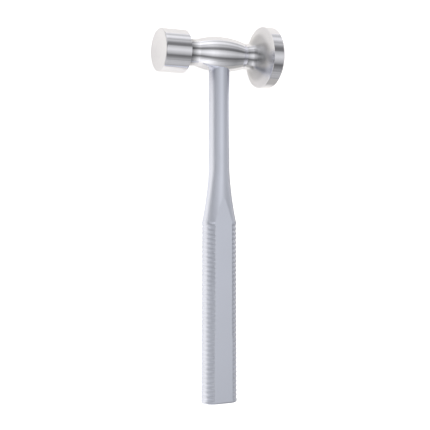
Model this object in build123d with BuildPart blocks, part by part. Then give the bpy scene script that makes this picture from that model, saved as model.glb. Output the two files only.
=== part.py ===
from build123d import *
from math import asin, atan2, cos, hypot, sin, sqrt
import os

# Surgical mallet in solid stainless steel, in millimetres.
# The turned head has a small flat striking face and a broad crowned one, with a
# barrel between them. The handle's spigot seats in the barrel's underside.

# Head, turned about its own axis and measured from where the handle meets it. The
# barrel and the flare are turned in narrow bands along their curves
small_face_reach = 31.6
small_face_dia = 20.5
small_face_length = 12.9
small_face_edge = 0.4
barrel_dia = 16.8
barrel_length = 25.6
barrel_bands = 5
neck_dia = 12.6
flare_neck_length = 3.9
flare_length = 5.8
flare_hollow = 0.9
flare_bands = 2
broad_face_dia = 30.0
rim_width = 6.0
rim_edge_width = 0.9
face_crown = 1.4

# Handle, measured along its axis from the head's axis
shaft_dia = 10.0
swell_reach = 56.0
flat_reach = 69.5
flat_reach_width = 13.0
grip_reach = 81.0
handle_reach = 168.8
grip_thickness = 10.2
grip_top_width = 17.4
grip_end_width = 18.1
flat_top_width = 9.4
grip_step = 0.1
grip_end_edge = 0.8

# Ridges across the two rounded sides of the grip, with a groove between each two
side_facets = 8
ridge_pitch = 2.25
ridge_height = 0.4
ridge_margin = 1.1
groove_overrun = 0.5

# Joint between handle and head
spigot_dia = 7.0
spigot_length = 7.5
spigot_edge = 0.5
seat_wall = 0.35
spigot_clearance = 0.05
seat_clearance = 0.02
bore_end_clearance = 0.5

small_face_r = small_face_dia / 2
broad_face_r = broad_face_dia / 2
barrel_r = barrel_dia / 2
neck_r = neck_dia / 2
shaft_r = shaft_dia / 2
spigot_r = spigot_dia / 2
flat_height = grip_thickness / 2

shoulder_x = small_face_length - small_face_reach
barrel_end = barrel_length / 2
flare_x = barrel_end + flare_neck_length
rim_x = flare_x + flare_length
rim_end_x = rim_x + rim_width
face_apex_x = rim_end_x + face_crown

# The shaft's shoulder sits on a flat, sunk until the whole shaft is inside the barrel
barrel_curve_r = (barrel_end**2 + (barrel_r - neck_r) ** 2) / (2 * (barrel_r - neck_r))
barrel_r_beside_shaft = barrel_r - barrel_curve_r + sqrt(barrel_curve_r**2 - shaft_r**2)
seat_reach = sqrt(barrel_r_beside_shaft**2 - shaft_r**2) - seat_wall

# Rounded sides of the grip: the same arc all along, from one flat to the other
flat_half_top = flat_top_width / 2
grip_half_top = grip_top_width / 2
grip_half_end = grip_end_width / 2
side_bulge = grip_half_top - flat_half_top
side_r = (side_bulge**2 + flat_height**2) / (2 * side_bulge)
flat_half_end = grip_half_end - side_bulge

# Lying at rest, the head rolls until both its striking ends touch, and the handle
# tips until the lower corner of the grip's end touches too
roll = atan2(broad_face_r - small_face_r, rim_x + small_face_reach)
head_height = (broad_face_r - rim_x * sin(roll) / cos(roll)) * cos(roll)
corner_reach = handle_reach - grip_end_edge
corner_drop = (head_height - flat_half_end * sin(roll)) / cos(roll)
tip = asin(corner_drop / hypot(corner_reach, flat_height)) - atan2(flat_height, corner_reach)

# Centred over the origin by the extent of the lying mallet
crown_r = (broad_face_r**2 + face_crown**2) / (2 * face_crown)
broad_extent = (face_apex_x - crown_r) * cos(roll) + crown_r
small_extent = small_face_reach * cos(roll) + small_face_r * sin(roll)
grip_extent = handle_reach * cos(tip) + flat_height * sin(tip)

# The mallet's own plane: x along the head to the broad face, y from the grip to the head
mallet = Plane(
    origin=((small_extent - broad_extent) / 2, (grip_extent - broad_face_r) / 2, head_height),
    x_dir=(cos(roll), 0, sin(roll)),
    z_dir=(-cos(tip) * sin(roll), -sin(tip), cos(tip) * cos(roll)),
)


# Plane square to the handle at a distance from the head's axis, facing the grip's end
def handle_section(reach):
    origin = mallet.from_local_coords((0, -reach, 0))
    return Plane(origin, x_dir=mallet.x_dir, z_dir=-mallet.y_dir)


# Head: the broad end is cut from a disc, and the rest is one turned outline
head_axis = Axis(mallet.origin, mallet.x_dir)
rim_plane = Plane(
    mallet.from_local_coords((rim_x, 0, 0)), x_dir=mallet.y_dir, z_dir=mallet.x_dir
)

with BuildPart() as head:
    with BuildSketch(rim_plane):
        Circle(broad_face_r)
    extrude(amount=rim_width + 2 * face_crown)
    with Locations(rim_plane.offset(rim_width + face_crown - crown_r)):
        Sphere(crown_r, rotation=(90, 0, 0), mode=Mode.INTERSECT)
    face_edge = head.edges().sort_by(head_axis)[-1]
    chamfer(face_edge, rim_edge_width)
    with BuildSketch(mallet) as head_outline:
        with BuildLine():
            small_end = Polyline(
                (-small_face_reach, 0),
                (-small_face_reach, small_face_r),
                (shoulder_x, small_face_r),
                (shoulder_x, neck_r),
                (-barrel_end, neck_r),
            )
            barrel_curve = ThreePointArc(
                small_end @ 1, (0, barrel_r), (barrel_end, neck_r), mode=Mode.PRIVATE
            )
            barrel = Polyline(*[barrel_curve @ (i / barrel_bands) for i in range(barrel_bands + 1)])
            flare_neck = Line(barrel @ 1, (flare_x, neck_r))
            flare_curve = SagittaArc(
                flare_neck @ 1, (rim_x, broad_face_r), -flare_hollow, mode=Mode.PRIVATE
            )
            flare = Polyline(*[flare_curve @ (i / flare_bands) for i in range(flare_bands + 1)])
            Polyline(flare @ 1, (rim_x, 0), small_end @ 0)
        make_face()
        chamfer(
            head_outline.vertices().sort_by_distance((-small_face_reach, small_face_r))[0],
            small_face_edge,
        )
    revolve(axis=head_axis)
    with Locations(handle_section(barrel_r)):
        CounterBoreHole(
            radius=spigot_r + spigot_clearance,
            counter_bore_radius=shaft_r + seat_clearance,
            counter_bore_depth=barrel_r - seat_reach,
            depth=barrel_r - seat_reach + spigot_length + bore_end_clearance,
        )

head.part.label = "head"

# Outline of the grip at a distance below its top, with the rounded sides in narrow facets.
# They can be sunk to a depth, and the corners of the flats with them
grip_length = handle_reach - grip_reach
side_angle = asin(flat_height / side_r)
side_spread = (grip_half_end - grip_half_top) / grip_length


def grip_outline(below_top, depth=0.0, corner_depth=0.0, half_height=flat_height):
    side_x = grip_half_top - side_r + side_spread * below_top
    corner_x = side_x + side_r - side_bulge - corner_depth
    right = [(corner_x, half_height)]
    for facet in range(1, side_facets):
        angle = side_angle * (1 - 2 * facet / side_facets)
        right.append((side_x + (side_r - depth) * cos(angle), (side_r - depth) * sin(angle)))
    right.append((corner_x, -half_height))
    left = [(-x, z) for x, z in reversed(right)]
    return right + left


# Grip: straight from crest to groove and on to the next crest, with a bevelled end
ridge_count = int((grip_length - 2 * ridge_margin) / ridge_pitch)
grip_outlines = [(0, grip_outline(0)), (ridge_margin, grip_outline(ridge_margin))]
for ridge in range(ridge_count):
    groove = ridge_margin + (ridge + 0.5) * ridge_pitch
    crest = ridge_margin + (ridge + 1) * ridge_pitch
    grip_outlines.append((groove, grip_outline(groove, ridge_height, groove_overrun)))
    grip_outlines.append((crest, grip_outline(crest)))
bevel_start = grip_length - grip_end_edge
grip_outlines.append((bevel_start, grip_outline(bevel_start)))
bevelled_end = grip_outline(
    grip_length, grip_end_edge, grip_end_edge, flat_height - grip_end_edge
)
grip_outlines.append((grip_length, bevelled_end))

with BuildPart() as grip:
    for below_top, outline in grip_outlines:
        with BuildSketch(handle_section(grip_reach + below_top)):
            Polygon(*outline, align=None)
    loft(ruled=True)

# Handle: spigot, round shaft and the swelling to an oval, on which the flats begin in
# a pointed arch, then the grip
swell_half = grip_half_top - grip_step
swell_flat_half = flat_half_top - grip_step
oval_half = flat_height / sqrt(1 - (swell_flat_half / swell_half) ** 2)
swell_ovals = [
    (swell_reach, shaft_r, shaft_r),
    (flat_reach, flat_reach_width / 2, flat_height),
    (grip_reach, swell_half, oval_half),
]

with BuildPart() as handle:
    with BuildSketch(handle_section(seat_reach)):
        Circle(spigot_r)
    extrude(amount=-spigot_length)
    spigot_end = handle.faces().sort_by(Axis(mallet.origin, mallet.y_dir))[-1]
    chamfer(spigot_end.edges(), spigot_edge)
    with BuildSketch(handle_section(seat_reach)):
        Circle(shaft_r)
    extrude(amount=swell_reach - seat_reach)
    for reach, half_width, half_thickness in swell_ovals:
        with BuildSketch(handle_section(reach)):
            Ellipse(half_width, half_thickness)
    loft()
    split(bisect_by=mallet.offset(flat_height), keep=Keep.BOTTOM)
    split(bisect_by=mallet.offset(-flat_height), keep=Keep.TOP)
    add(grip.part)

handle.part.label = "handle"

os.makedirs("parts", exist_ok=True)
export_step(head.part, "parts/head.step")
export_step(handle.part, "parts/handle.step")
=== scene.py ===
import math

import bpy
from mathutils import Matrix, Vector


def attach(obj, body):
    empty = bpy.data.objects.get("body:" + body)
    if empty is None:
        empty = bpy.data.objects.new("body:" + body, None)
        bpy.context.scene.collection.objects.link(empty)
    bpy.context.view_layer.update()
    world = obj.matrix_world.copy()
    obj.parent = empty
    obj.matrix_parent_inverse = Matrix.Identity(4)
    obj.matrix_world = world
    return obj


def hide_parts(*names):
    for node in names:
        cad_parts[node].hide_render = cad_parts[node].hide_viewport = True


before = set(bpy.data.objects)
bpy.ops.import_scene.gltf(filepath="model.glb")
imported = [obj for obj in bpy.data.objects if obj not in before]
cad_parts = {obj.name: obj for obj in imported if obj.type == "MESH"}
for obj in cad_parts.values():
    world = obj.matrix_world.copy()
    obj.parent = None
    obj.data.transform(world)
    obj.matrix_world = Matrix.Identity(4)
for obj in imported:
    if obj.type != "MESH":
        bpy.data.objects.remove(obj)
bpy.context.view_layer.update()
bpy.ops.object.select_all(action="DESELECT")
print("frame loaded")

mm = 0.001
# points closer than hair are at the same place, and those closer than weld are merged
hair = 0.01 * mm
weld = 0.001 * mm

# how the mallet lies: the head's axis is its x, the handle runs along its -y, the flats face its z
lying = {
    "centre": (0.00114, 0.07693, 0.012975),
    "along": (0.996168, 0.0, 0.087464),
    "up": (-0.087377, -0.044561, 0.995178),
    # degrees between faces that still shade as one
    "smoothUpTo": 24,
}
alongHead = Vector(lying["along"])
flatsUp = Vector(lying["up"])
malletTurn = Matrix((alongHead, flatsUp.cross(alongHead), flatsUp)).transposed()
malletPlace = Matrix.Translation(Vector(lying["centre"])) @ malletTurn.to_4x4()


def onlySelect(piece):
    bpy.ops.object.select_all(action="DESELECT")
    piece.select_set(True)
    bpy.context.view_layer.objects.active = piece


def newPiece(name):
    piece = bpy.context.active_object
    piece.name = name
    piece.data.name = name
    onlySelect(piece)
    return piece


def selectWhere(piece, kind, test):
    bpy.ops.object.mode_set(mode="OBJECT")
    mesh = piece.data
    for group in (mesh.vertices, mesh.edges, mesh.polygons):
        for item in group:
            item.select = False
    items = {"verts": mesh.vertices, "edges": mesh.edges, "faces": mesh.polygons}[kind]
    for item in items:
        item.select = test(item)
    bpy.ops.object.mode_set(mode="EDIT")
    bpy.ops.mesh.select_mode(type={"verts": "VERT", "edges": "EDGE", "faces": "FACE"}[kind])


# from the mallet's own axes to where it lies
def layDown(piece):
    onlySelect(piece)
    piece.matrix_world = malletPlace
    bpy.ops.object.transform_apply(location=True, rotation=True, scale=True)
    bpy.ops.object.shade_smooth_by_angle(angle=math.radians(lying["smoothUpTo"]))


# millimetres along the head's axis from where the handle meets it, and radii
headSizes = {
    "smallFaceAt": -31.6,
    "smallRadius": 10.25,
    "shoulderAt": -18.7,
    "smallEdge": 0.4,
    "smallEdgeBulge": 0.15,
    "shoulderEdge": 0.12,
    "shoulderFillet": 0.5,
    "filletRise": 0.14,
    "neckRadius": 6.3,
    "barrelHalf": 12.8,
    "barrelRadius": 8.4,
    "waistAt": 14.4,
    "waistRadius": 6.27,
    "waistRise": 0.11,
    "flareAt": 17.4,
    "flareRadius": 7.0,
    "flareRise": 0.186,
    "flareHollow": 0.68,
    # along and across, what the flare leaves for the edge behind the rim
    "backEdge": (0.03, 0.04),
    "rimAt": 22.5,
    "rimRadius": 15.0,
    "rimEndAt": 28.5,
    "rimEdge": 0.9,
    "rimEdgeBulge": 0.1,
    "crown": 1.4,
    "edgeSteps": 4,
    "filletSteps": 5,
    "barrelSteps": 64,
    "waistSteps": 8,
    "flareRootSteps": 10,
    "flareSteps": 24,
    "crownSteps": 16,
    "spinSteps": 192,
}


# the points after start, up to end, on an arc that bulges by rise to the left of the way
def arcRow(start, end, rise, steps):
    a, b = Vector(start), Vector(end)
    chord = b - a
    half = chord.length / 2
    radius = (half * half + rise * rise) / (2 * abs(rise))
    left = Vector((-chord.y, chord.x)).normalized() * (1 if rise > 0 else -1)
    middle = (a + b) / 2 - left * (radius - abs(rise))
    sweep = 2 * math.asin(half / radius) * (-1 if rise > 0 else 1)
    turns = [Matrix.Rotation(sweep * i / steps, 2) for i in range(1, steps + 1)]
    return [tuple(middle + turn @ (a - middle)) for turn in turns]


def headOutline(s):
    # a ring halfway across the small face keeps its triangles short
    outline = [(s["smallFaceAt"], 0), (s["smallFaceAt"], s["smallRadius"] * 0.5)]

    def arcTo(end, rise, steps, leftOff=0):
        row = arcRow(outline[-1], end, rise, steps)
        outline.extend(row[:len(row) - leftOff])

    # small face, its edge and the cylinder
    outline.append((s["smallFaceAt"], s["smallRadius"] - s["smallEdge"]))
    edgeEnd = (s["smallFaceAt"] + s["smallEdge"], s["smallRadius"])
    arcTo(edgeEnd, s["smallEdge"] * s["smallEdgeBulge"], s["edgeSteps"])
    outline.append((s["shoulderAt"] - s["shoulderEdge"], s["smallRadius"]))
    outline.append((s["shoulderAt"], s["smallRadius"] - s["shoulderEdge"]))
    # neck and barrel
    outline.append((s["shoulderAt"], s["neckRadius"] + s["shoulderFillet"]))
    filletEnd = (s["shoulderAt"] + s["shoulderFillet"], s["neckRadius"])
    arcTo(filletEnd, -s["filletRise"], s["filletSteps"])
    outline.append((-s["barrelHalf"], s["neckRadius"]))
    barrelRise = s["barrelRadius"] - s["neckRadius"]
    arcTo((s["barrelHalf"], s["neckRadius"]), barrelRise, s["barrelSteps"], leftOff=2)
    # waist and flare
    arcTo((s["waistAt"], s["waistRadius"]), -s["waistRise"], s["waistSteps"])
    arcTo((s["flareAt"], s["flareRadius"]), -s["flareRise"], s["flareRootSteps"])
    backAlong, backAcross = s["backEdge"]
    flareEnd = (s["rimAt"] - backAlong, s["rimRadius"] - backAcross)
    arcTo(flareEnd, -s["flareHollow"], s["flareSteps"])
    # rim and crowned face
    crownRadius = (s["rimRadius"] ** 2 + s["crown"] ** 2) / (2 * s["crown"])
    crownAt = s["rimEndAt"] + s["crown"] - crownRadius
    edgeRadius = s["rimRadius"] - s["rimEdge"]
    edgeAt = crownAt + math.sqrt(crownRadius ** 2 - edgeRadius ** 2)
    outline.append((s["rimAt"], s["rimRadius"]))
    outline.append((s["rimEndAt"] - s["rimEdge"], s["rimRadius"]))
    arcTo((edgeAt, edgeRadius), s["rimEdge"] * s["rimEdgeBulge"], s["edgeSteps"])
    sweep = math.asin(edgeRadius / crownRadius)
    for step in range(1, s["crownSteps"] + 1):
        angle = sweep * (1 - step / s["crownSteps"])
        outline.append((crownAt + crownRadius * math.cos(angle), crownRadius * math.sin(angle)))
    return outline


def turnHead(s):
    outline = headOutline(s)
    bpy.ops.mesh.primitive_circle_add(vertices=3, radius=mm, location=(0, 0, 0))
    piece = newPiece("turned_head")
    first = piece.data.vertices[0]
    first.co = (outline[0][0] * mm, outline[0][1] * mm, 0)
    selectWhere(piece, "verts", lambda v: v.index > 0)
    bpy.ops.mesh.delete(type="VERT")
    bpy.ops.mesh.select_all(action="SELECT")
    for (x0, r0), (x1, r1) in zip(outline, outline[1:]):
        step = ((x1 - x0) * mm, (r1 - r0) * mm, 0)
        bpy.ops.mesh.extrude_region_move(TRANSFORM_OT_translate={"value": step})
    bpy.ops.mesh.select_all(action="SELECT")
    bpy.ops.mesh.spin(
        steps=s["spinSteps"], angle=math.tau, center=(0, 0, 0), axis=(1, 0, 0),
    )
    bpy.ops.mesh.select_all(action="SELECT")
    bpy.ops.mesh.remove_doubles(threshold=weld)
    bpy.ops.mesh.normals_make_consistent(inside=False)
    bpy.ops.object.mode_set(mode="OBJECT")
    return piece


turnedHead = turnHead(headSizes)
layDown(turnedHead)
print("head turned", len(turnedHead.data.polygons))

# millimetres along the handle from the head's axis
handleSizes = {
    "topAt": 3.0,
    "shaftRadius": 5.0,
    "swellAt": 56.0,
    "archAt": 69.5,
    "archHalfWidth": 6.5,
    "archHalfHeight": 5.1,
    "gripAt": 81.0,
    "swellEndHalfWidth": 8.6,
    "swellEndHalfHeight": 6.036,
    "swellRows": 40,
    "tuckedIn": 0.5,
    "endAt": 168.8,
    "flatHeight": 5.1,
    "sideRadius": 5.25,
    "sideOffsetTop": 3.45,
    "sideOffsetEnd": 3.8,
    "ridgeStart": 1.1,
    "ridgePitch": 2.25,
    "ridgeCount": 38,
    "ridgeDepth": 0.4,
    "crestWear": 0.14,
    # degrees to each side of the rounded side's middle
    "grooveSpan": 78,
    "endEdge": 0.8,
    "ringPoints": 96,
}


# the parabola through three (place, value) pairs
def throughThree(at, knots):
    (a, ya), (b, yb), (c, yc) = knots
    first = (yb - ya) / (b - a)
    second = ((yc - yb) / (c - b) - first) / (c - a)
    return ya + first * (at - a) + second * (at - a) * (at - b)


def ringCircle(name, radius, reach, count):
    turn = Matrix.Rotation(math.pi / 2, 4, "X") @ Matrix.Rotation(math.pi / count, 4, "Z")
    bpy.ops.mesh.primitive_circle_add(
        vertices=count, radius=radius * mm, fill_type="NGON",
        location=(0, -reach * mm, 0), rotation=turn.to_euler(),
    )
    piece = newPiece(name)
    bpy.ops.object.transform_apply(location=True, rotation=True, scale=True)
    bpy.ops.object.mode_set(mode="EDIT")
    bpy.ops.mesh.select_all(action="SELECT")
    return piece


def cutFlats(piece, height):
    for side in (1, -1):
        bpy.ops.mesh.select_all(action="SELECT")
        bpy.ops.mesh.bisect(
            plane_co=(0, 0, side * height * mm), plane_no=(0, 0, side),
            use_fill=True, clear_outer=True, threshold=0.1 * weld,
        )
    bpy.ops.mesh.select_all(action="SELECT")
    bpy.ops.mesh.normals_make_consistent(inside=False)


# the ground flats keep a crisp edge all round
def sharpFlats(piece, height):
    def onFlat(face):
        return abs(face.normal.z) > 0.99999 and abs(abs(face.center.z) - height * mm) < hair

    selectWhere(piece, "faces", onFlat)
    bpy.ops.mesh.region_to_loop()
    bpy.ops.mesh.mark_sharp()
    bpy.ops.object.mode_set(mode="OBJECT")


def makeShaft(s):
    piece = ringCircle("shaft", s["shaftRadius"], s["topAt"], s["ringPoints"])
    stations = (s["swellAt"], s["archAt"], s["gripAt"])
    halfWidths = (s["shaftRadius"], s["archHalfWidth"], s["swellEndHalfWidth"])
    halfHeights = (s["shaftRadius"], s["archHalfHeight"], s["swellEndHalfHeight"])
    widths, heights = list(zip(stations, halfWidths)), list(zip(stations, halfHeights))
    step = (0, -(s["swellAt"] - s["topAt"]) * mm, 0)
    bpy.ops.mesh.extrude_region_move(TRANSFORM_OT_translate={"value": step})
    width, height, at = s["shaftRadius"], s["shaftRadius"], s["swellAt"]
    for row in range(1, s["swellRows"] + 1):
        there = s["swellAt"] + (s["gripAt"] - s["swellAt"]) * row / s["swellRows"]
        newWidth, newHeight = throughThree(there, widths), throughThree(there, heights)
        step = (0, (at - there) * mm, 0)
        bpy.ops.mesh.extrude_region_move(TRANSFORM_OT_translate={"value": step})
        bpy.ops.transform.resize(
            value=(newWidth / width, 1, newHeight / height), center_override=(0, -there * mm, 0),
        )
        width, height, at = newWidth, newHeight, there
    cutFlats(piece, s["flatHeight"])
    bpy.ops.object.mode_set(mode="OBJECT")
    # its end is drawn in a little and runs inside the grip
    selectWhere(piece, "faces", lambda f: f.normal.y < -0.99)
    bpy.ops.mesh.inset(thickness=s["tuckedIn"] * mm)
    step = (0, -s["tuckedIn"] * mm, 0)
    bpy.ops.mesh.extrude_region_move(TRANSFORM_OT_translate={"value": step})
    sharpFlats(piece, s["flatHeight"])
    return piece


def makeGrip(s):
    piece = ringCircle("grip", s["sideRadius"], s["gripAt"], s["ringPoints"])
    for side in (1, -1):
        selectWhere(piece, "verts", lambda v: v.co.x * side > 0)
        bpy.ops.transform.translate(value=(side * s["sideOffsetTop"] * mm, 0, 0))
    length = s["endAt"] - s["gripAt"]
    spread = (s["sideOffsetEnd"] - s["sideOffsetTop"]) / length
    stops = [s["ridgeStart"] + s["ridgePitch"] * i / 2 for i in range(2 * s["ridgeCount"] + 1)]
    at = 0.0
    selectWhere(piece, "verts", lambda v: True)
    for stop in stops + [length]:
        step = (0, (at - stop) * mm, 0)
        bpy.ops.mesh.extrude_region_move(TRANSFORM_OT_translate={"value": step})
        half = (s["sideOffsetTop"] + spread * at + s["sideRadius"]) * mm
        wider = (half + spread * (stop - at) * mm) / half
        bpy.ops.transform.resize(value=(wider, 1, 1), center_override=(0, 0, 0))
        at = stop
    # grooves between the ridges, pushed in on the rounded sides alone
    valleys = [-(s["gripAt"] + stop) * mm for stop in stops[1::2]]
    reachOver = math.cos(math.radians(s["grooveSpan"])) * s["sideRadius"]

    def inGroove(vertex):
        place = round((-vertex.co.y / mm - s["gripAt"] - stops[1]) / s["ridgePitch"])
        if not 0 <= place < len(valleys) or abs(vertex.co.y - valleys[place]) > hair:
            return False
        centre = s["sideOffsetTop"] + spread * (-vertex.co.y / mm - s["gripAt"])
        return abs(vertex.co.x) > (centre + reachOver) * mm

    for side in (1, -1):
        selectWhere(piece, "verts", lambda v: inGroove(v) and v.co.x * side > 0)
        centreX = side * (s["sideOffsetTop"] + s["sideOffsetEnd"]) / 2 * mm
        shrink = 1 - s["ridgeDepth"] / s["sideRadius"]
        bpy.ops.transform.resize(value=(1, 1, shrink), center_override=(centreX, 0, 0))
        bpy.ops.transform.resize(value=(shrink, 1, 1), center_override=(centreX, 0, 0))
    # the ridges' crests are a little worn
    crests = [-(s["gripAt"] + stop) * mm for stop in stops[0::2]]

    def onCrest(edge):
        a, b = (piece.data.vertices[i].co for i in edge.vertices)
        if abs(a.y - b.y) > hair:
            return False
        place = round((-a.y / mm - s["gripAt"] - stops[0]) / s["ridgePitch"])
        return 0 <= place < len(crests) and abs(a.y - crests[place]) < hair

    selectWhere(piece, "edges", onCrest)
    bpy.ops.mesh.bevel(offset=s["crestWear"] * mm, segments=2, affect="EDGES")
    cutFlats(piece, s["flatHeight"])
    bpy.ops.object.mode_set(mode="OBJECT")
    sharpFlats(piece, s["flatHeight"])
    endY = -s["endAt"] * mm

    def onEnd(edge):
        a, b = (piece.data.vertices[i].co for i in edge.vertices)
        return abs(a.y - endY) < hair and abs(b.y - endY) < hair

    selectWhere(piece, "edges", onEnd)
    bpy.ops.mesh.bevel(offset=s["endEdge"] * mm, segments=3, affect="EDGES", profile=0.5)
    bpy.ops.object.mode_set(mode="OBJECT")
    return piece


gripPart = makeGrip(handleSizes)
steelHandle = makeShaft(handleSizes)
gripPart.select_set(True)
steelHandle.select_set(True)
bpy.context.view_layer.objects.active = steelHandle
bpy.ops.object.join()
steelHandle.name = "steel_handle"
layDown(steelHandle)
print("handle made", len(steelHandle.data.polygons))


def addNode(tree, kind, **settings):
    node = tree.nodes.new(kind)
    for name, value in settings.items():
        setattr(node, name, value)
    return node


latheSizes = {
    "fineDetail": 2,
    "broadness": 500,
    "broadDetail": 1,
}


# fine lathe lines round the head's own axis: they depend on the place along it and on the radius
def turningGroup(s):
    group = bpy.data.node_groups.new("lathe lines", "ShaderNodeTree")
    newSocket = group.interface.new_socket
    newSocket("Fineness", in_out="INPUT", socket_type="NodeSocketFloat")
    for name in ("Lines", "Broad", "Along"):
        newSocket(name, in_out="OUTPUT", socket_type="NodeSocketFloat")
    start, end = addNode(group, "NodeGroupInput"), addNode(group, "NodeGroupOutput")
    coords = addNode(group, "ShaderNodeTexCoord")
    own = addNode(group, "ShaderNodeMapping", vector_type="TEXTURE")
    own.inputs["Location"].default_value = lying["centre"]
    own.inputs["Rotation"].default_value = malletTurn.to_euler()
    parts = addNode(group, "ShaderNodeSeparateXYZ")
    across = addNode(group, "ShaderNodeCombineXYZ")
    radius = addNode(group, "ShaderNodeVectorMath", operation="LENGTH")
    place = addNode(group, "ShaderNodeCombineXYZ")
    fine = addNode(group, "ShaderNodeTexNoise", noise_dimensions="2D")
    broad = addNode(group, "ShaderNodeTexNoise", noise_dimensions="2D")
    fine.inputs["Detail"].default_value = s["fineDetail"]
    broad.inputs["Detail"].default_value = s["broadDetail"]
    broad.inputs["Scale"].default_value = s["broadness"]
    link = group.links.new
    link(coords.outputs["Object"], own.inputs["Vector"])
    link(own.outputs["Vector"], parts.inputs["Vector"])
    link(parts.outputs["Y"], across.inputs["X"])
    link(parts.outputs["Z"], across.inputs["Y"])
    link(across.outputs["Vector"], radius.inputs[0])
    link(parts.outputs["X"], place.inputs["X"])
    link(radius.outputs["Value"], place.inputs["Y"])
    link(place.outputs["Vector"], fine.inputs["Vector"])
    link(place.outputs["Vector"], broad.inputs["Vector"])
    link(start.outputs["Fineness"], fine.inputs["Scale"])
    link(fine.outputs["Fac"], end.inputs["Lines"])
    link(broad.outputs["Fac"], end.inputs["Broad"])
    link(parts.outputs["X"], end.inputs["Along"])
    return group


latheLines = turningGroup(latheSizes)


# a straight slope between two values: it is (from low, from high, to low, to high)
def rampNode(tree, source, slope):
    ramp = addNode(tree, "ShaderNodeMapRange")
    for name, value in zip(("From Min", "From Max", "To Min", "To Max"), slope):
        ramp.inputs[name].default_value = value
    tree.links.new(source, ramp.inputs["Value"])
    return ramp.outputs["Result"]


def combine(tree, operation, first, second):
    node = addNode(tree, "ShaderNodeMath", operation=operation)
    for socket, value in zip(node.inputs, (first, second)):
        if isinstance(value, float):
            socket.default_value = value
        else:
            tree.links.new(value, socket)
    return node.outputs["Value"]


# a value that follows a row of (place, level) stops
def stopRow(tree, source, stops, brightest):
    low, high = stops[0][0], stops[-1][0]
    place = rampNode(tree, source, (low, high, 0, 1))
    row = addNode(tree, "ShaderNodeValToRGB")
    elements = row.color_ramp.elements
    while len(elements) < len(stops):
        elements.new(0.5)
    for i, (at, level) in enumerate(stops):
        elements[i].position = (at - low) / (high - low)
        elements[i].color = (*[level / brightest] * 3, 1)
    tree.links.new(place, row.inputs["Fac"])
    return combine(tree, "MULTIPLY", row.outputs["Color"], brightest)


# what the noise nodes mostly stay between
noiseSpan = (0.25, 0.75)


def steelMaterial(name, look, pattern):
    made = bpy.data.materials.new(name)
    made.use_nodes = True
    tree = made.node_tree
    shader = tree.nodes["Principled BSDF"]
    shader.inputs["Metallic"].default_value = 1.0
    height, broad, dull, paintedShade = pattern(tree, look)
    roughness = rampNode(tree, broad, (*noiseSpan, *look["roughness"]))
    tree.links.new(combine(tree, "ADD", roughness, dull), shader.inputs["Roughness"])
    bump = addNode(tree, "ShaderNodeBump")
    bump.inputs["Strength"].default_value = look["bump"]
    bump.inputs["Distance"].default_value = look["depth"] * mm
    tree.links.new(height, bump.inputs["Height"])
    tree.links.new(bump.outputs["Normal"], shader.inputs["Normal"])
    tint = addNode(tree, "ShaderNodeMix", data_type="RGBA")
    tint.inputs["A"].default_value = (*look["dark"], 1)
    tint.inputs["B"].default_value = (*look["light"], 1)
    tree.links.new(broad, tint.inputs["Factor"])
    # the tint is scaled by the painted shade, where a pattern gives one
    shaded = addNode(tree, "ShaderNodeVectorMath", operation="SCALE")
    tree.links.new(tint.outputs["Result"], shaded.inputs[0])
    if isinstance(paintedShade, float):
        shaded.inputs["Scale"].default_value = paintedShade
    else:
        tree.links.new(paintedShade, shaded.inputs["Scale"])
    tree.links.new(shaded.outputs["Vector"], shader.inputs["Base Color"])
    return made


def turnedPattern(tree, look):
    lines = addNode(tree, "ShaderNodeGroup", node_tree=latheLines)
    lines.inputs["Fineness"].default_value = look["fineness"]
    along = lines.outputs["Along"]

    def between(span, low, high):
        return rampNode(tree, along, (span[0] * mm, span[1] * mm, low, high))

    # the flare is duller than the rest, and the rim's lines are deeper
    pastNeck = between(look["dullFrom"], 0, look["flareDull"])
    beforeRim = between(look["dullUntil"], 1, 0)
    rimLines = between(look["rimFrom"], 1, look["rimLines"])
    height = combine(tree, "MULTIPLY", lines.outputs["Lines"], rimLines)
    # painted shade: the steel's colour darkened along the head, following the row of stops
    paintedShade = stopRow(tree, along, [(at * mm, level) for at, level in look["paintedShade"]], 1.0)
    return height, lines.outputs["Broad"], combine(tree, "MULTIPLY", pastNeck, beforeRim), paintedShade


def satinPattern(tree, look):
    coords = addNode(tree, "ShaderNodeTexCoord")
    fine = addNode(tree, "ShaderNodeTexNoise")
    fine.inputs["Scale"].default_value = look["fineness"]
    broad = addNode(tree, "ShaderNodeTexNoise")
    broad.inputs["Scale"].default_value = look["broadness"]
    tree.links.new(coords.outputs["Object"], fine.inputs["Vector"])
    tree.links.new(coords.outputs["Object"], broad.inputs["Vector"])
    return fine.outputs["Fac"], broad.outputs["Fac"], 0.0, 1.0


polishedLook = {
    "dark": (0.80, 0.80, 0.845), "light": (0.84, 0.84, 0.88),
    "roughness": (0.05, 0.1), "bump": 0.15, "depth": 0.01, "fineness": 2500,
    "flareDull": 0.16, "rimLines": 9.0,
    # millimetres along the head
    "dullFrom": (15.5, 17.5), "dullUntil": (22.2, 22.5), "rimFrom": (22.3, 22.6),
    # painted shade along the head: the steel's colour is darkened on the small face, in the recess
    # by the shoulder and at the flare's root, standing in for shade and dimmer reflections there
    "paintedShade": [
        (-32, 0.92), (-31.5, 0.92), (-31.3, 1), (-18.75, 1), (-18.6, 0.45), (-16.8, 0.45),
        (-13.5, 1), (14.8, 1), (16.4, 0.62), (18.4, 0.58), (20.4, 0.64), (21.4, 0.88),
        (22.3, 0.92), (22.5, 1), (30, 1),
    ],
}
satinLook = {
    "dark": (0.735, 0.765, 0.865), "light": (0.775, 0.805, 0.90),
    "roughness": (0.34, 0.4), "bump": 0.2, "depth": 0.02, "fineness": 5000, "broadness": 60,
}
polishedSteel = steelMaterial("polished steel", polishedLook, turnedPattern)
satinSteel = steelMaterial("satin steel", satinLook, satinPattern)
turnedHead.data.materials.append(polishedSteel)
steelHandle.data.materials.append(satinSteel)
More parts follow.
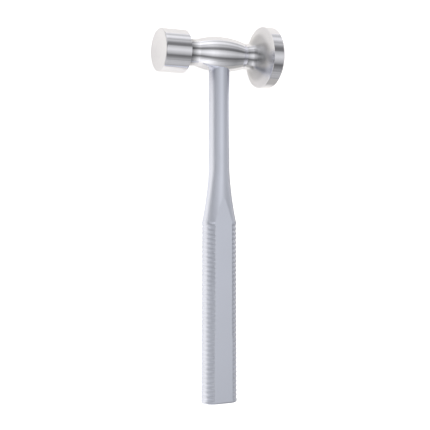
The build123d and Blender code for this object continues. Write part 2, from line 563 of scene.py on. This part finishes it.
for node, material in (("head", polishedSteel), ("handle", satinSteel)):
    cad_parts[node].data.materials.clear()
    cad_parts[node].data.materials.append(material)
dressed = (
    (turnedHead, "head", "polished_steel"),
    (steelHandle, "handle", "satin_steel"),
)
for piece, node, slot in dressed:
    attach(piece, "root")
    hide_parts(node)
print("steel given")

studio = {
    "floorSize": 6,
    "floorColour": (0.9, 0.9, 0.9),
    "floorRoughness": 0.9,
    # the light on the paper, at which its colour renders as it is written
    "onPaper": 1.4,
    # what makes the paper white to the camera, and lighter in the steel
    "floorGlow": 0.74,
    "floorGlowInSteel": 0.31,
    # the paper as the steel mirrors it: a warm white, with painted shade far left, right of the
    # handle and past the head. Each slope is two places in metres and then the painted shade at
    # each of them
    "warmPaper": (0.93, 0.905, 0.86),
    "paintedShadeFarLeft": (-0.09, -0.045, 0.4, 0),
    "paintedShadeRight": (0.002, 0.014, 0, 0.55),
    "besideHandle": (0.03, 0.055, 1, 0),
    "paintedShadePastHead": (0.086, 0.1, 0, 0.12),
    # bands that run along the head: degrees from straight up towards +y, and how light it is there
    "bands": [
        (-100, 0.68), (-88, 0.62), (-80, 0.78), (-76, 0.68), (-72, 0.8), (-67, 0.64),
        (-62, 0.74), (-57, 0.46), (-52, 0.54), (-45, 0.36), (-39, 0.27), (-33, 0.2),
        (-28, 0.42), (-21, 0.66), (-14, 0.8), (-6, 1.0), (-1, 0.98), (6, 0.84), (13, 0.66),
        (18, 0.28), (26, 0.25), (32, 0.36), (37, 0.56), (43, 0.82), (48, 0.6), (54, 0.8),
        (62, 1.22), (68, 1.22), (76, 0.84), (81, 0.86), (88, 1.2), (100, 1.28),
    ],
    # fading to both sides: from -1 at the left horizon to 1 at the right one
    "sides": [
        (-1.0, 0.66), (-0.93, 0.66), (-0.86, 0.78), (-0.78, 0.88), (-0.6, 0.83),
        (-0.4, 0.88), (-0.18, 1.04), (0.0, 1.15), (0.1, 1.08), (0.25, 0.9), (0.37, 0.8),
        (0.5, 0.73), (0.62, 0.65), (0.78, 0.7), (1.0, 0.9),
    ],
    # the sides' level at the head, for which the bands are given
    "sidesAtHead": 0.8,
    # the sides count for more in the low bands towards the grip: a slope in degrees, as in bands
    "sideContrast": (-56, -42, 2.2, 1),
    # the ramps hold levels as parts of this
    "brightest": 1.4,
}

world = bpy.data.worlds.new("studio light")
bpy.context.scene.world = world
world.use_nodes = True
tree = world.node_tree
toSky = addNode(tree, "ShaderNodeTexCoord")
sky = addNode(tree, "ShaderNodeSeparateXYZ")
tree.links.new(toSky.outputs["Generated"], sky.inputs["Vector"])
aroundHead = combine(tree, "ARCTAN2", sky.outputs["Y"], sky.outputs["Z"])
degrees = combine(tree, "MULTIPLY", aroundHead, 180 / math.pi)
bands = stopRow(tree, degrees, studio["bands"], studio["brightest"])
sides = stopRow(tree, sky.outputs["X"], studio["sides"], studio["brightest"])
sideFactor = combine(tree, "DIVIDE", sides, studio["sidesAtHead"])
contrast = rampNode(tree, degrees, studio["sideContrast"])
level = combine(tree, "MULTIPLY", bands, combine(tree, "POWER", sideFactor, contrast))
path = addNode(tree, "ShaderNodeLightPath")
strengths = (0, 1, studio["sidesAtHead"], studio["onPaper"])
strength = rampNode(tree, path.outputs["Is Diffuse Ray"], strengths)
level = combine(tree, "MULTIPLY", level, strength)
tree.nodes["Background"].inputs["Color"].default_value = (1, 1, 1, 1)
tree.links.new(level, tree.nodes["Background"].inputs["Strength"])

bpy.ops.mesh.primitive_plane_add(size=studio["floorSize"], location=(0, 0, 0))
floor = newPiece("floor")
paper = bpy.data.materials.new("floor paper")
paper.use_nodes = True
tree = paper.node_tree
shader = tree.nodes["Principled BSDF"]
shader.inputs["Roughness"].default_value = studio["floorRoughness"]
shader.inputs["Specular IOR Level"].default_value = 0.0
path = addNode(tree, "ShaderNodeLightPath")
seen = combine(tree, "MULTIPLY", path.outputs["Is Camera Ray"], studio["floorGlow"])
reflected = combine(tree, "MULTIPLY", path.outputs["Is Glossy Ray"], studio["floorGlowInSteel"])
glowing = combine(tree, "ADD", seen, reflected)
tree.links.new(glowing, shader.inputs["Emission Strength"])
paperPlace = addNode(tree, "ShaderNodeSeparateXYZ")
tree.links.new(addNode(tree, "ShaderNodeTexCoord").outputs["Object"], paperPlace.inputs["Vector"])
paperX, paperY = paperPlace.outputs["X"], paperPlace.outputs["Y"]
# painted shade on the paper as the steel mirrors it: far left, right of the handle and past the
# head
farLeft = rampNode(tree, paperX, studio["paintedShadeFarLeft"])
right = rampNode(tree, paperX, studio["paintedShadeRight"])
besideHandle = rampNode(tree, paperY, studio["besideHandle"])
pastHead = rampNode(tree, paperY, studio["paintedShadePastHead"])
paintedFloorShade = combine(tree, "ADD", farLeft, combine(tree, "MULTIPLY", right, besideHandle))
paintedFloorShade = combine(tree, "ADD", paintedFloorShade, pastHead)
mirrored = addNode(tree, "ShaderNodeVectorMath", operation="SCALE")
mirrored.inputs[0].default_value = studio["warmPaper"]
tree.links.new(combine(tree, "SUBTRACT", 1.0, paintedFloorShade), mirrored.inputs["Scale"])
paperTone = addNode(tree, "ShaderNodeMix", data_type="RGBA")
tree.links.new(path.outputs["Is Glossy Ray"], paperTone.inputs["Factor"])
paperTone.inputs["A"].default_value = (*studio["floorColour"], 1)
tree.links.new(mirrored.outputs["Vector"], paperTone.inputs["B"])
for socket in ("Base Color", "Emission Color"):
    tree.links.new(paperTone.outputs["Result"], shader.inputs[socket])
floor.data.materials.append(paper)
print("studio lit")

# fitted to the outlines in the photograph
view = {
    "place": (-0.2268, -0.0130, 0.3899),
    "forward": (0.5110, 0.0277, -0.8591),
    "up": (0.0025, 0.9994, 0.0336),
    "sensor": 36,
    "lens": 76.57,
    "shift": -0.0014,
    "clipStart": 0.01,
}
bpy.ops.object.camera_add(location=view["place"])
camera = bpy.context.active_object
forward, above = Vector(view["forward"]).normalized(), Vector(view["up"])
right = forward.cross(above).normalized()
above = right.cross(forward)
camera.rotation_euler = Matrix((right, above, -forward)).transposed().to_euler()
camera.data.sensor_width = view["sensor"]
camera.data.lens = view["lens"]
camera.data.shift_x = view["shift"]
camera.data.clip_start = view["clipStart"]
bpy.context.scene.camera = camera
bpy.context.scene.view_settings.view_transform = "Standard"
